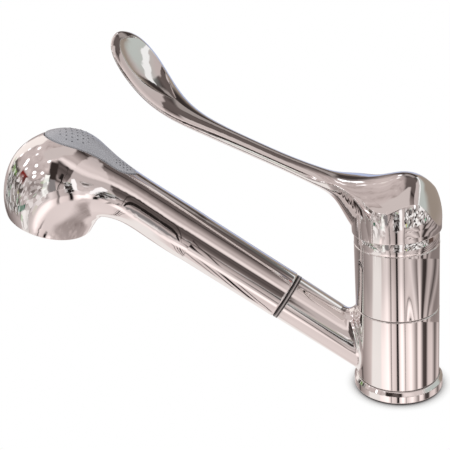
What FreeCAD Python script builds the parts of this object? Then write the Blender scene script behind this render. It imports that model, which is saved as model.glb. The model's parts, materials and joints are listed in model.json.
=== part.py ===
"""Pull-out mixer tap: swivelling sleeve with an inclined spout, pull-out spray handset and top lever.

Frame: origin at the centre of the base on the worktop, +Z up, +X below the spout. Millimetres.
"""
import FreeCAD
import Part
import math
import os
import re
import Sketcher
from FreeCAD import Placement, Rotation, Vector

# Driving dimensions: name, value in millimetres or degrees.
SIZES = [
    # Base and column
    ("base_radius", 27.1), ("base_wall", 5.7), ("base_height", 8.0), ("base_shoulder", 25.4),
    ("base_bore", 21.1), ("gasket_thickness", 0.8), ("gasket_radius", 26.4), ("edge_break", 0.35),
    ("seam_gap", 0.3), ("body_radius", 25.0), ("sleeve_top", 54.95), ("body_below_lift", 1.9),
    ("journal_radius", 21.0), ("chamber_radius", 18.0), ("chamber_top", 53.5),
    ("window_start", 2.0), ("window_low", 12.5), ("window_high", 50.5),
    # Foot plate
    ("plate_radius", 20.9), ("hose_hole_radius", 8.0), ("hose_hole_offset", 9.5),
    ("stud_hole_radius", 3.4), ("stud_spacing", 32.0), ("inlet_back", 8.5), ("inlet_side", 7.8),
    ("boss_radius", 6.2), ("boss_height", 14.0), ("inlet_bore", 4.5), ("inlet_depth", 9.0),
    ("pipe_radius", 4.0), ("pipe_bore", 3.0), ("plate_clearance", 0.1),
    # Swivel sleeve and its bearings
    ("sleeve_bore", 22.5), ("bearing_gap", 0.05), ("bearing_height", 3.7),
    # Spout stub, along the inclined spout axis
    ("spout_rise", 32.74), ("spout_foot", 10.47), ("stub_start", 4.0), ("stub_root_radius", 14.2),
    ("stub_radius", 15.06), ("stub_length", 80.4), ("stub_bore", 12.0), ("stub_blend", 6.0),
    ("bush_flange_radius", 15.2), ("bush_flange", 2.5), ("bush_depth", 15.0), ("bush_bore", 6.6),
    ("dock_gap", 0.1), ("hose_radius", 6.2), ("hose_start", 8.0),
    # Handset handle
    ("grip_start_radius", 15.56), ("grip_end", 150.0), ("grip_radius", 16.03), ("grip_bore", 12.6),
    ("grip_corner", 1.5), ("nut_length", 14.0), ("nut_radius", 12.5), ("nut_setback", 1.0),
    ("grip_bore_past", 8.0), ("swell", 0.2), ("swell_reach", 28.0), ("shoulder_reach", 52.0),
    ("throat_reach", 46.0), ("valve_length", 13.0),
    ("valve_radius", 8.0), ("waterway_radius", 8.6), ("waterway_bore", 6.8), ("waterway_end", 211.0),
    # Handset head, round the outlet axis
    ("outlet_reach", 242.2), ("outlet_drop", 46.0), ("outlet_turn", 100.7), ("rim_radius", 28.5),
    ("face_bore", 25.6), ("face_depth", 10.0), ("face_clearance", 0.1), ("block_radius", 18.0),
    ("block_depth", 35.5), ("block_clearance", 0.2), ("elbow_radius", 9.4), ("elbow_swell", 0.9),
    ("face_recess", 1.6), ("plate_thickness", 3.4), ("nozzle_ring", 18.6), ("nozzle_radius", 1.2),
    ("nozzle_height", 1.0), ("nozzle_count", 16), ("aerator_radius", 10.6), ("aerator_lip", 1.2),
    ("aerator_bore", 8.4), ("aerator_floor", 2.0), ("nozzle_margin", 4.0), ("spool_radius", 4.6),
    ("spool_length", 16.0), ("spool_depth", 20.0), ("spool_room", 4.0), ("spool_gap", 0.08),
    ("stem_radius", 1.5), ("stem_tip", 59.2), ("inlet_bore_length", 14.0),
    # Rocker pad on the head
    ("pad_rear", 203.5), ("pad_front", 267.5), ("pad_width", 13.6), ("pad_tail_width", 6.4),
    ("pad_rise", 0.5), ("pad_sink", 1.3), ("pad_side_gap", 0.6), ("pad_travel_gap", 1.5),
    ("pad_heel_reach", 5.0), ("pad_tail_reach", 18.0), ("pad_tail_swell", 0.4),
    ("pad_waist_reach", 34.0), ("pad_waist_swell", 3.6), ("pad_belly_reach", 19.0),
    ("pad_toe_reach", 7.0),
    ("rocker_pin_at", 232.0), ("rocker_pin_height", 15.0), ("rocker_pin_radius", 0.8),
    ("rocker_pin_gap", 0.06), ("rocker_pin_length", 12.0), ("lug_radius", 1.7), ("lug_width", 4.0),
    ("web_thickness", 2.4), ("web_height", 3.6),
    # Cartridge and its fastenings
    ("cartridge_bore", 20.1), ("cartridge_floor", 60.0), ("cartridge_radius", 19.9),
    ("seal_thickness", 0.8), ("seal_radius", 19.0), ("port_ring", 10.0), ("port_radius", 3.0),
    ("port_count", 3), ("seat_below_lift", 22.8), ("disc_room", 15.5), ("room_below_lift", 10.7),
    ("disc_radius", 15.3), ("disc_thickness", 4.0), ("slider_radius", 10.4),
    ("slider_thickness", 3.0), ("slider_gap", 0.05), ("driver_below_lift", 10.9),
    ("ledge_below_lift", 8.8), ("neck_radius", 14.6), ("neck_above_lift", 6.2),
    ("neck_bore", 12.0), ("nut_bore", 14.8), ("nut_below_lift", 4.8), ("carrier_gap", 0.05),
    ("carrier_below_lift", 10.6), ("carrier_above_lift", 6.0), ("carrier_slot", 8.3),
    ("slot_back", 7.4), ("slot_front", 9.4), ("stem_width", 8.0), ("stem_ball", 3.1),
    ("ball_below_lift", 12.5), ("ball_gap", 0.3), ("shank_radius", 2.17), ("shank_length", 8.0),
    ("bar_above_ball", 5.0), ("stem_above_lift", 32.2), ("socket_gap", 0.1),
    ("socket_room", 0.5), ("pin_radius", 1.45), ("pin_gap", 0.06), ("pin_length", 22.0),
    # Dome collar and lever
    ("lift_height", 98.8), ("dome_radius", 24.9), ("dome_above_lift", 10.2), ("dome_bore", 17.0),
    ("spigot_below_lift", 4.5), ("spigot_gap", 0.1), ("spigot_below_top", 1.0), ("skirt_gap", 0.5),
    ("skirt_above_lift", 6.0), ("skirt_tilt", 2.0), ("cap_radius", 26.1),
    ("cap_above_lift", 46.2), ("lever_turn", -10.0), ("front_start", 6.0),
    ("shaft_root_reach", 46.6), ("shaft_above_lift", 33.4), ("shaft_length", 83.4),
    ("shaft_rise", 18.0), ("shaft_end_rise", 22.0), ("paddle_bend", 45.0), ("paddle_rise", 56.0),
    ("paddle_length", 35.0), ("shaft_root_width", 8.0), ("shaft_root_thickness", 5.2),
    ("shaft_taper", 18.0), ("shaft_middle", 48.0), ("shaft_width", 6.7),
    ("shaft_thickness", 4.3), ("shaft_flare", 0.1), ("neck_before_bend", 5.0),
    ("neck_swell", 2.0), ("cheek_after_bend", 17.0), ("palm_after_bend", 34.0),
    ("paddle_width", 20.4), ("paddle_thickness", 4.6), ("dish_depth", 4.2), ("dish_rim", 3.2),
    ("screw_above_lift", 28.0), ("screw_fall", 25.0), ("screw_radius", 1.5),
    ("screw_length", 12.0), ("plug_start", 25.0), ("plug_radius", 2.2),
    # Cutting tools: how far they start before a face, and how far they run past a piece
    ("overlap", 1.0), ("beyond", 40.0),
]

# Heights of the cartridge, the collar and the lever, which all move with the lift point
FOLLOWING = {
    "body_top": "lift_height - body_below_lift",
    "disc_seat": "lift_height - seat_below_lift",
    "disc_room_top": "lift_height - room_below_lift",
    "driver_top": "lift_height - driver_below_lift",
    "cartridge_ledge": "lift_height - ledge_below_lift",
    "neck_top": "lift_height + neck_above_lift",
    "nut_top": "lift_height - nut_below_lift",
    "carrier_bottom": "lift_height - carrier_below_lift",
    "carrier_top": "lift_height + carrier_above_lift",
    "ball_height": "lift_height - ball_below_lift",
    "stem_top": "lift_height + stem_above_lift",
    "dome_top": "lift_height + dome_above_lift",
    "dome_spigot": "lift_height - spigot_below_lift",
    "skirt_height": "lift_height + skirt_above_lift",
    "cap_top": "lift_height + cap_above_lift",
    "shaft_height": "lift_height + shaft_above_lift",
    "screw_height": "lift_height + screw_above_lift",
}

# Sections of the head from the grip to the rim, for a rim of this radius: reach and height of the
# upper point and of the lower point, measured from the centre of the outlet, then half width
HEAD_DRAWN_AT = 28.5
HEAD_ROWS = [
    (-17.2, 63.8, -34.0, 25.6, 20.23),
    (6.0, 64.9, -31.2, 22.2, 25.5),
    (25.7, 53.0, -29.2, 17.1, 28.6),
    (37.1, 32.0, -28.6, 12.4, 29.2),
    (36.1, 9.6, -28.3, 8.6, 28.9),
]

# Shares of the pad's tail width and full width near its two ends
PAD_HEEL_SHARE = 0.72
PAD_TOE_SHARE = 0.74

# Sections of the flared lever root, for a cap of this radius: reach, height of the widest level,
# half width, top and bottom, all heights from the lift point, then fullness above and below
ROOT_DRAWN_AT = 26.1
ROOT_ROWS = [
    (-27.0, -4.8, 29.0, 5.2, -18.8, 0.5, 5.0),
    (-25.0, 0.2, 29.0, 15.7, -18.8, 0.5, 5.0),
    (-22.0, 6.2, 29.0, 25.2, -16.8, 0.48, 5.0),
    (-17.5, 11.2, 29.0, 34.2, -14.8, 0.45, 5.0),
    (-11.0, 13.7, 29.0, 39.3, -12.8, 0.42, 5.0),
    (-4.0, 14.2, 28.7, 40.3, -10.8, 0.42, 4.5),
    (4.0, 16.7, 27.0, 38.8, -7.8, 0.42, 3.3),
    (12.0, 23.4, 22.8, 36.8, -1.8, 0.42, 2.4),
    (21.0, 29.8, 17.2, 35.7, 3.2, 0.47, 1.6),
    (28.0, 32.2, 13.4, 35.7, 10.7, 0.5, 1.2),
    (36.0, 33.0, 9.9, 36.2, 21.2, 0.6, 0.9),
]
# Level shoulder between the cap and the root: one section repeated at these reaches
SHOULDER_REACHES = (-2.0, 12.0, 26.0, 40.0)
SHOULDER_ROW = (20.7, 26.5, 35.2, -8.8, 0.45, 5.0)

# Shares of the paddle's half width where it spreads out
CHEEK_SHARE = 0.66
PALM_SHARE = 0.87
# End of the paddle: distance before the tip, share of the half width and of the half thickness
TIP_ROWS = [(25.0, 1.0, 1.0), (11.0, 0.86, 0.86), (3.0, 0.5, 0.55), (0.0, 0.12, 0.15)]
# Hollow of the paddle: distance before the tip, shares of its half width, depth and lift
DISH_ROWS = [(56.0, 0.12, 0.2, 1.0), (46.0, 0.5, 0.55, 1.0), (26.0, 1.0, 1.0, 1.0),
             (13.0, 0.84, 0.9, 0.97), (6.0, 0.4, 0.5, 0.85)]
# Outline of the cap from its lower edge up: distance in from its radius and down from its top
CAP_ROWS = [(0.2, 45.0), (0.0, 36.0), (0.9, 23.0), (2.6, 16.0), (7.0, 6.0), (15.0, 1.0)]
CAP_LEAN = 0.02

# Tolerances: a zero distance, an edge at its place, an arc that is straight
NEAR_ZERO = 1e-9
NEAR_EDGE = 0.01
NEAR_STRAIGHT = 1e-6

os.makedirs("parts", exist_ok=True)
doc = FreeCAD.newDocument("PullOutMixerTap")
sheet = doc.addObject("Spreadsheet::Sheet", "Sizes")
for row, (alias, number) in enumerate(SIZES, start=1):
    sheet.set("A%d" % row, alias.replace("_", " "))
    sheet.set("B%d" % row, str(number))
    sheet.setAlias("B%d" % row, alias)
doc.recompute()

NAMES = {alias for alias, number in SIZES}
nodes = []


def bound(expression):
    """Point every size name in an expression at the sheet, with following heights written out."""
    def pointed(word):
        if word[0] in FOLLOWING:
            return "(%s)" % bound(FOLLOWING[word[0]])
        return "Sizes." + word[0] if word[0] in NAMES else word[0]
    return re.sub(r"[a-z][a-z_]*", pointed, expression)


def value(expression):
    """Return what a size name, or an expression of size names, is worth."""
    return float(sheet.evalExpression(bound(expression)))


def origin_plane(body, role):
    """Return one of a body's own origin planes or axes."""
    return next(item for item in body.Origin.OriginFeatures if item.Role == role)


def keep(label, item):
    """Name a finished piece and list it for writing."""
    item.Label = label
    nodes.append(item)
    return item


def solid(label, shape):
    """Keep a piece whose form comes from Part's own functions."""
    piece = doc.addObject("Part::Feature", label)
    piece.Shape = shape
    return keep(label, piece)


def pin_vertex(sketch, line, across, up):
    """Hold the start of one sketch line at two expressions measured from the sketch origin."""
    for kind, expression, axis in (("DistanceX", across, -2), ("DistanceY", up, -1)):
        distance = value(expression)
        if abs(distance) < NEAR_ZERO:
            sketch.addConstraint(Sketcher.Constraint("PointOnObject", line, 1, axis))
            continue
        index = sketch.addConstraint(Sketcher.Constraint(kind, -1, 1, line, 1, distance))
        sketch.setExpression("Constraints[%d]" % index, bound(expression))


def outline_sketch(body, name, corners):
    """Draw a closed outline of (radius, height) expressions on the body's upright plane."""
    sketch = body.newObject("Sketcher::SketchObject", name)
    sketch.AttachmentSupport = (origin_plane(body, "XZ_Plane"), [""])
    sketch.MapMode = "FlatFace"
    points = [Vector(value(across), value(up), 0) for across, up in corners]
    count = len(points)
    for index in range(count):
        sketch.addGeometry(Part.LineSegment(points[index], points[(index + 1) % count]), False)
    for index in range(count):
        sketch.addConstraint(Sketcher.Constraint("Coincident", index, 2, (index + 1) % count, 1))
    for index, (across, up) in enumerate(corners):
        pin_vertex(sketch, index, across, up)
    return sketch


def turned(name, corners):
    """Return a body turned about its own Z axis from an outline of expressions."""
    body = doc.addObject("PartDesign::Body", name)
    sketch = outline_sketch(body, name + "_outline", corners)
    turn = body.newObject("PartDesign::Revolution", name + "_turn")
    turn.Profile = sketch
    turn.ReferenceAxis = (sketch, ["V_Axis"])
    turn.Angle = 360
    sketch.Visibility = False
    return body


def circles_sketch(body, name, circles, height="0"):
    """Draw circles of (x, y, radius) expressions on the body's level plane, raised by height."""
    sketch = body.newObject("Sketcher::SketchObject", name)
    sketch.AttachmentSupport = (origin_plane(body, "XY_Plane"), [""])
    sketch.MapMode = "FlatFace"
    sketch.setExpression("AttachmentOffset.Base.z", bound(height))
    for index, (x, y, radius) in enumerate(circles):
        centre = Vector(value(x), value(y), 0)
        sketch.addGeometry(Part.Circle(centre, Vector(0, 0, 1), value(radius)), False)
        size = sketch.addConstraint(Sketcher.Constraint("Radius", index, value(radius)))
        sketch.setExpression("Constraints[%d]" % size, bound(radius))
        for kind, expression, axis in (("DistanceX", x, -2), ("DistanceY", y, -1)):
            if abs(value(expression)) < NEAR_ZERO:
                sketch.addConstraint(Sketcher.Constraint("PointOnObject", index, 3, axis))
                continue
            place = sketch.addConstraint(
                Sketcher.Constraint(kind, -1, 1, index, 3, value(expression)))
            sketch.setExpression("Constraints[%d]" % place, bound(expression))
    return sketch


def padded(body, name, circles, height, thickness):
    """Raise a pad of the given thickness from circles drawn at a height."""
    pad = body.newObject("PartDesign::Pad", name)
    pad.Profile = circles_sketch(body, name + "_sketch", circles, height)
    pad.setExpression("Length", bound(thickness))
    return pad


def rod(name, radius, bottom, top, x="0", y="0"):
    """Return an upright Part cylinder between two heights."""
    item = doc.addObject("Part::Cylinder", name)
    item.setExpression("Radius", bound(radius))
    item.setExpression("Height", bound("(%s) - (%s)" % (top, bottom)))
    item.setExpression("Placement.Base.x", bound(x))
    item.setExpression("Placement.Base.y", bound(y))
    item.setExpression("Placement.Base.z", bound(bottom))
    return item


def cut(name, base, *tools):
    """Take one or more tools away from a base."""
    for index, tool in enumerate(tools):
        result = doc.addObject("Part::Cut", "%s_cut_%d" % (name, index))
        result.Base = base
        result.Tool = tool
        base = result
    return base


def block(name, low, high):
    """Return a Part box between two corners of expressions."""
    item = doc.addObject("Part::Box", name)
    for axis, side, start, end in zip("xyz", ("Length", "Width", "Height"), low, high):
        item.setExpression(side, bound("(%s) - (%s)" % (end, start)))
        item.setExpression("Placement.Base." + axis, bound(start))
    return item


# Directions of the spout, the outlet and the lever
ROUND = math.sqrt(0.5)
SPOUT_TURN = Rotation(Vector(0, 1, 0), 90 - value("spout_rise"))
SPOUT_FRAME = Placement(Vector(0, 0, value("spout_foot")), SPOUT_TURN)
ALONG = SPOUT_TURN.multVec(Vector(0, 0, 1))
ABOVE = SPOUT_TURN.multVec(Vector(-1, 0, 0))


def on_spout(distance, height=0.0, side=0.0):
    """Return the point at a distance along the spout axis, raised off it and moved to one side."""
    return SPOUT_FRAME.Base + ALONG * distance + ABOVE * height + Vector(0, side, 0)


OUTLET = on_spout(value("outlet_reach"), -value("outlet_drop"))
OUTLET_TURN = Rotation(Vector(0, 1, 0), 90 - value("spout_rise") + value("outlet_turn") - 180)
OUTLET_FRAME = Placement(OUTLET, OUTLET_TURN)
SIDEWAYS = Vector(0, 1, 0)
INWARD = OUTLET_TURN.multVec(Vector(0, 0, 1))
LIFT_POINT = Vector(0, 0, value("lift_height"))
LEVER_FRAME = Placement(Vector(0, 0, 0), Rotation(Vector(0, 0, 1), value("lever_turn")))


def placed_on_spout(body):
    """Set a body's own Z axis along the spout."""
    body.Placement = SPOUT_FRAME
    body.setExpression("Placement.Base.z", bound("spout_foot"))
    body.setExpression("Placement.Rotation.Angle", bound("90 - spout_rise"))
    return body


def placed_on_outlet(body):
    """Set a body's own Z axis into the head through the outlet."""
    body.Placement = OUTLET_FRAME
    return body


def spout_cylinder(radius, start, end):
    """Return a cylinder along the spout axis."""
    return Part.makeCylinder(radius, end - start, on_spout(start), ALONG)


def outlet_cylinder(radius, start, end):
    """Return a cylinder along the outlet axis, from one depth to another."""
    return Part.makeCylinder(radius, end - start, OUTLET + INWARD * start, INWARD)


def ring(name, inner, outer, bottom, top):
    """Return a plain turned ring."""
    return turned(name, [(inner, bottom), (outer, bottom), (outer, top), (inner, top)])


# Base
keep("base_gasket", ring("base_gasket", "base_bore", "gasket_radius", "0", "gasket_thickness"))
keep("base_ring", turned("base_ring", [
    ("base_bore", "gasket_thickness"),
    ("base_radius - edge_break", "gasket_thickness"),
    ("base_radius", "gasket_thickness + edge_break"),
    ("base_radius", "base_wall"),
    ("base_shoulder + edge_break", "base_height - edge_break"),
    ("base_shoulder", "base_height"),
    ("base_bore", "base_height")]))

plate = doc.addObject("PartDesign::Body", "foot_plate")
padded(plate, "plate_disc", [("0", "0", "plate_radius")], "0", "base_height")
doc.recompute()
plate_holes = plate.newObject("PartDesign::Pocket", "plate_holes")
plate_holes.Profile = circles_sketch(plate, "plate_hole_sketch", [
    ("hose_hole_offset", "0", "hose_hole_radius"),
    ("0", "stud_spacing / 2", "stud_hole_radius"),
    ("0", "-stud_spacing / 2", "stud_hole_radius"),
    ("-inlet_back", "inlet_side", "boss_radius + plate_clearance"),
    ("-inlet_back", "-inlet_side", "boss_radius + plate_clearance")])
plate_holes.Type = "ThroughAll"
plate_holes.Midplane = True
keep("foot_plate", plate)

for side, sign in (("hot", ""), ("cold", "-")):
    pipe = turned("inlet_" + side, [
        ("inlet_bore", "0"), ("boss_radius", "0"), ("boss_radius", "boss_height"),
        ("pipe_radius", "boss_height"), ("pipe_radius", "chamber_top"),
        ("pipe_bore", "chamber_top"), ("pipe_bore", "inlet_depth"), ("inlet_bore", "inlet_depth")])
    pipe.setExpression("Placement.Base.x", bound("-inlet_back"))
    pipe.setExpression("Placement.Base.y", bound(sign + "inlet_side"))
    keep("inlet_pipe_" + side, pipe)

# Mixer body: journal for the sleeve below, cartridge housing above
housing = turned("housing", [
    ("0", "chamber_top"), ("chamber_radius", "chamber_top"), ("chamber_radius", "base_height"),
    ("journal_radius", "base_height"), ("journal_radius", "sleeve_top + seam_gap"),
    ("body_radius - edge_break", "sleeve_top + seam_gap"),
    ("body_radius", "sleeve_top + seam_gap + edge_break"),
    ("body_radius", "body_top - edge_break"), ("body_radius - edge_break", "body_top"),
    ("cartridge_bore", "body_top"), ("cartridge_bore", "cartridge_floor"),
    ("0", "cartridge_floor")])
window = block("hose_window", ("window_start", "-body_radius", "window_low"),
               ("body_radius", "body_radius", "window_high"))
passages = [rod("floor_port_" + side, "pipe_bore", "chamber_top - overlap",
                "cartridge_floor + overlap",
                "-inlet_back", sign + "inlet_side") for side, sign in (("hot", ""), ("cold", "-"))]
keep("mixer_body", cut("mixer_body", housing, window, *passages))

# Slide rings that the sleeve turns on
keep("slide_ring_lower", ring("slide_ring_lower", "journal_radius", "sleeve_bore - bearing_gap",
                              "base_height + seam_gap", "base_height + seam_gap + bearing_height"))
keep("slide_ring_upper", ring("slide_ring_upper", "journal_radius", "sleeve_bore - bearing_gap",
                              "sleeve_top - bearing_height", "sleeve_top"))

# Swivel sleeve with the spout stub: both are turned, blended, then trimmed level and bored
sleeve_bottom = value("base_height") + value("seam_gap")
sleeve_top = value("sleeve_top")
body_radius = value("body_radius")
post = Part.makeCylinder(body_radius, 4 * sleeve_top, Vector(0, 0, -sleeve_top))
post.rotate(Vector(0, 0, 0), Vector(0, 0, 1), 180)
stub_start = value("stub_start")
stub = Part.makeCone(value("stub_root_radius"), value("stub_radius"),
                     value("stub_length") - stub_start, on_spout(stub_start), ALONG)
joined = post.fuse(stub)
seams = [edge for edge in joined.Edges if not isinstance(edge.Curve, (Part.Line, Part.Circle))]
joined = joined.makeFillet(value("stub_blend"), seams)
sleeve = joined.cut([
    Part.makeCylinder(4 * body_radius, 2 * sleeve_top, Vector(0, 0, sleeve_bottom - 2 * sleeve_top)),
    Part.makeCylinder(body_radius + value("stub_blend"), 4 * sleeve_top, Vector(0, 0, sleeve_top)),
    Part.makeCylinder(value("sleeve_bore"), 4 * sleeve_top, Vector(0, 0, -sleeve_top)),
    spout_cylinder(value("stub_bore"), value("journal_radius"), value("stub_length + overlap"))])
top_edges = [edge for edge in sleeve.Edges if isinstance(edge.Curve, Part.Circle)
             and abs(edge.Curve.Radius - body_radius) < NEAR_EDGE
             and abs(edge.BoundBox.ZMax - sleeve_top) < NEAR_EDGE]
sleeve = sleeve.makeChamfer(value("edge_break"), top_edges)
solid("spout_sleeve", sleeve)

bush_end = "stub_length + bush_flange"
keep("hose_bush", placed_on_spout(turned("hose_bush", [
    ("bush_bore", "stub_length - bush_depth"), ("stub_bore - dock_gap", "stub_length - bush_depth"),
    ("stub_bore - dock_gap", "stub_length"), ("bush_flange_radius", "stub_length"),
    ("bush_flange_radius", bush_end), ("bush_bore", bush_end)])))

# Hose between the foot and the handset, and the fittings inside the grip
grip_start = "stub_length + bush_flange + dock_gap"
keep("pull_out_hose", placed_on_spout(turned("pull_out_hose", [
    ("0", "hose_start"), ("hose_radius", "hose_start"),
    ("hose_radius", grip_start + " + nut_length"), ("0", grip_start + " + nut_length")])))
keep("hose_nut", placed_on_spout(ring("hose_nut", "hose_radius", "nut_radius",
                                      grip_start + " + nut_setback",
                                      grip_start + " + nut_length")))
keep("check_valve", placed_on_spout(ring("check_valve", "pipe_bore", "valve_radius",
                                         grip_start + " + nut_length",
                                         grip_start + " + nut_length + valve_length")))
keep("waterway", placed_on_spout(ring("waterway", "waterway_bore", "waterway_radius",
                                      grip_start + " + nut_length + valve_length", "waterway_end")))


def head_stations(grow):
    """List upper point, lower point and half width of each section from the grip to the rim.

    Heights and distances are along and above the spout axis; grow moves every surface outwards.
    """
    grip = value("grip_radius")
    end = value("grip_end")
    reach = value("outlet_reach")
    drop = value("outlet_drop")
    rim = value("rim_radius")
    near = grip + value("swell")
    far = near + value("swell")
    swell_at = end + value("swell_reach")
    slant = math.radians(value("outlet_turn") - 90)
    rim_along = rim * math.cos(slant)
    rim_up = rim * math.sin(slant)
    plain = [
        ((end, grip), (end, -grip), grip),
        ((swell_at, near), (swell_at, -near), near),
        ((end + value("shoulder_reach"), far), (end + value("throat_reach"), -far), far)]
    for row in HEAD_ROWS:
        along, height, low_along, low_height, half = [size * rim / HEAD_DRAWN_AT for size in row]
        plain.append(((reach + along, height - drop), (reach + low_along, low_height - drop), half))
    plain.append(((reach + rim_along, -rim_up - drop), (reach - rim_along, rim_up - drop), rim))
    stations = []
    for upper, lower, half_width in plain:
        top = on_spout(*upper)
        bottom = on_spout(*lower)
        outwards = (top - bottom).normalize() * grow
        stations.append((top + outwards, bottom - outwards, half_width + grow))
    return stations


class Section:
    """One rounded section of a loft: its centre, its reach sideways, upwards and downwards.

    crown and keel are the weights of the corners above and below: ROUND gives an ellipse, less
    gives flatter flanks and more gives fuller ones.
    """

    def __init__(self, centre, half_across, rise, fall, up, crown=ROUND, keel=ROUND):
        self.centre = centre
        self.half_across = half_across
        self.rise = rise
        self.fall = fall
        self.up = up
        self.crown = crown
        self.keel = keel


def skin_quarter(sections, side, lift):
    """Return the surface through one quarter of every section, smooth from section to section.

    A quarter has three control points, and each of them runs on a smooth curve.
    """
    spans = [0.0]
    for before, after in zip(sections, sections[1:]):
        spans.append(spans[-1] + (after.centre - before.centre).Length
                     + abs(after.rise - before.rise) / 2 + abs(after.fall - before.fall) / 2
                     + abs(after.half_across - before.half_across) / 2)
    rows = []
    weights = []
    for outwards, upwards in ((1, 0), (1, 1), (0, 1)):
        spots = []
        pulls = []
        for item in sections:
            height = item.rise if lift > 0 else -item.fall
            spots.append(item.centre + SIDEWAYS * (side * outwards * item.half_across)
                         + item.up * (upwards * height))
            corner_pull = item.crown if lift > 0 else item.keel
            pulls.append(corner_pull if outwards and upwards else 1.0)
        track = Part.BSplineCurve()
        track.interpolate(Points=[spot * pull for spot, pull in zip(spots, pulls)],
                          Parameters=spans)
        pull_track = Part.BSplineCurve()
        pull_track.interpolate(Points=[Vector(pull, span, 0) for pull, span in zip(pulls, spans)],
                               Parameters=spans)
        weights.append([pole.x for pole in pull_track.getPoles()])
        rows.append([pole / weight for pole, weight in zip(track.getPoles(), weights[-1])])
    surface = Part.BSplineSurface()
    surface.buildFromPolesMultsKnots(rows, [3, 3], track.getMultiplicities(), [0.0, 1.0],
                                     track.getKnots(), False, False, 2, 3, weights)
    return surface


def section_loft(sections):
    """Return the closed solid through a row of rounded sections."""
    quarters = [skin_quarter(sections, side, lift) for side in (1, -1) for lift in (1, -1)]
    faces = [quarter.toShape() for quarter in quarters]
    for end in (0, -1):
        arcs = [quarter.vIso(quarter.getVKnots()[end]).toShape() for quarter in quarters]
        faces.append(Part.Face(Part.Wire(Part.__sortEdges__(arcs))))
    skin = Part.makeShell(faces)
    skin.sewShape()
    form = Part.makeSolid(Part.Shell(skin.Faces))
    if form.Volume < 0:
        form.reverse()
    return form


def head_form(grow):
    """Return the solid outer form of the head, grown by a given amount."""
    sections = []
    for top, bottom, half_width in head_stations(grow):
        up = (top - bottom).normalize()
        half_up = (top - bottom).Length / 2
        sections.append(Section((top + bottom) / 2, half_width, half_up, half_up, up))
    return section_loft(sections)


def pad_prism(grow):
    """Return a tall prism over the rocker pad's outline, grown by a given amount."""
    rear = value("pad_rear") - grow
    front = value("pad_front") + grow
    tail = value("pad_tail_width") + grow
    wide = value("pad_width") + grow
    edge = [(rear, 0),
            (rear + value("pad_heel_reach"), tail * PAD_HEEL_SHARE),
            (rear + value("pad_tail_reach"), tail + value("pad_tail_swell")),
            (front - value("pad_waist_reach"), tail + value("pad_waist_swell")),
            (front - value("pad_belly_reach"), wide),
            (front - value("pad_toe_reach"), wide * PAD_TOE_SHARE),
            (front, 0)]
    outline = edge + [(distance, -side) for distance, side in edge[-2:0:-1]]
    curve = Part.BSplineCurve()
    curve.interpolate(Points=[on_spout(distance, 0, side) for distance, side in outline],
                      PeriodicFlag=True)
    return Part.Face(Part.Wire([curve.toShape()])).extrude(ABOVE * value("beyond"))


def rocker_axle(radius, length):
    """Return a crosswise cylinder on the rocker's axis."""
    centre = on_spout(value("rocker_pin_at"), value("rocker_pin_height"), -length / 2)
    return Part.makeCylinder(radius, length, centre, SIDEWAYS)


# Handset shell: a tapered grip and the lofted head, bored from both ends
start = value(grip_start)
corner = value("grip_corner")
first = value("grip_start_radius")
grip_profile = Part.Wire([
    Part.LineSegment(on_spout(start), on_spout(start, first - corner)).toShape(),
    Part.Arc(on_spout(start, first - corner),
             on_spout(start + corner * (1 - ROUND), first - corner * (1 - ROUND)),
             on_spout(start + corner, first)).toShape(),
    Part.LineSegment(on_spout(start + corner, first),
                     on_spout(value("grip_end"), value("grip_radius"))).toShape(),
    Part.LineSegment(on_spout(value("grip_end"), value("grip_radius")),
                     on_spout(value("grip_end"))).toShape(),
    Part.LineSegment(on_spout(value("grip_end")), on_spout(start)).toShape()])
grip = Part.Face(grip_profile).revolve(SPOUT_FRAME.Base, ALONG, 360)
ELBOW_DEPTH = value("outlet_drop") / math.cos(math.radians(value("outlet_turn") - 90))
ELBOW = OUTLET + INWARD * ELBOW_DEPTH


def block_form(grow):
    """Return the valve block in the head: a drum, an elbow above it and a neck to the waterway."""
    drum = outlet_cylinder(value("block_radius") + grow, value("face_depth"),
                           value("block_depth") + grow)
    riser = outlet_cylinder(value("elbow_radius") + grow, value("face_depth"), ELBOW_DEPTH)
    bend = Part.makeSphere(value("elbow_radius") + value("elbow_swell") + grow, ELBOW)
    inlet = spout_cylinder(value("elbow_radius") + grow, value("waterway_end"),
                           (ELBOW - SPOUT_FRAME.Base).dot(ALONG))
    return drum.fuse([riser, bend, inlet])


shell = grip.fuse(head_form(0))
shell = shell.cut([
    spout_cylinder(value("grip_bore"), start - value("overlap"), value("waterway_end + grip_bore_past")),
    outlet_cylinder(value("face_bore"), -value("beyond"), value("face_depth")),
    block_form(value("block_clearance"))])
recess = pad_prism(value("pad_side_gap")).cut(head_form(-value("pad_sink") - value("pad_travel_gap")))
lug_room = rocker_axle(value("lug_radius") + value("pad_side_gap"),
                       value("lug_width") + 2 * value("pad_side_gap"))
stem_hole = outlet_cylinder(value("stem_radius") + value("pad_side_gap"), ELBOW_DEPTH,
                            ELBOW_DEPTH + value("beyond"))
rocker_pin = rocker_axle(value("rocker_pin_radius"), value("rocker_pin_length"))
shell = shell.cut([recess, lug_room, stem_hole, rocker_pin])
solid("handset_shell", shell)
solid("rocker_pin", rocker_pin)

# Rocker pad: a shell of the head's own form, with a lug below it round the pin
pad = pad_prism(0).common(head_form(value("pad_rise"))).cut(head_form(-value("pad_sink")))
lug = rocker_axle(value("lug_radius"), value("lug_width"))
web = Part.makeBox(value("web_thickness"), value("lug_width"), value("web_height"),
                   Vector(-value("web_thickness") / 2, -value("lug_width") / 2, 0))
web.Placement = Placement(
    on_spout(value("rocker_pin_at"), value("rocker_pin_height")),
    Rotation(ALONG, SIDEWAYS, ABOVE, "XYZ")).multiply(web.Placement)
pad = pad.fuse([lug, web])
pad = pad.cut(rocker_axle(value("rocker_pin_radius") + value("rocker_pin_gap"),
                          2 * value("lug_width")))
solid("rocker_pad", pad)

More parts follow.
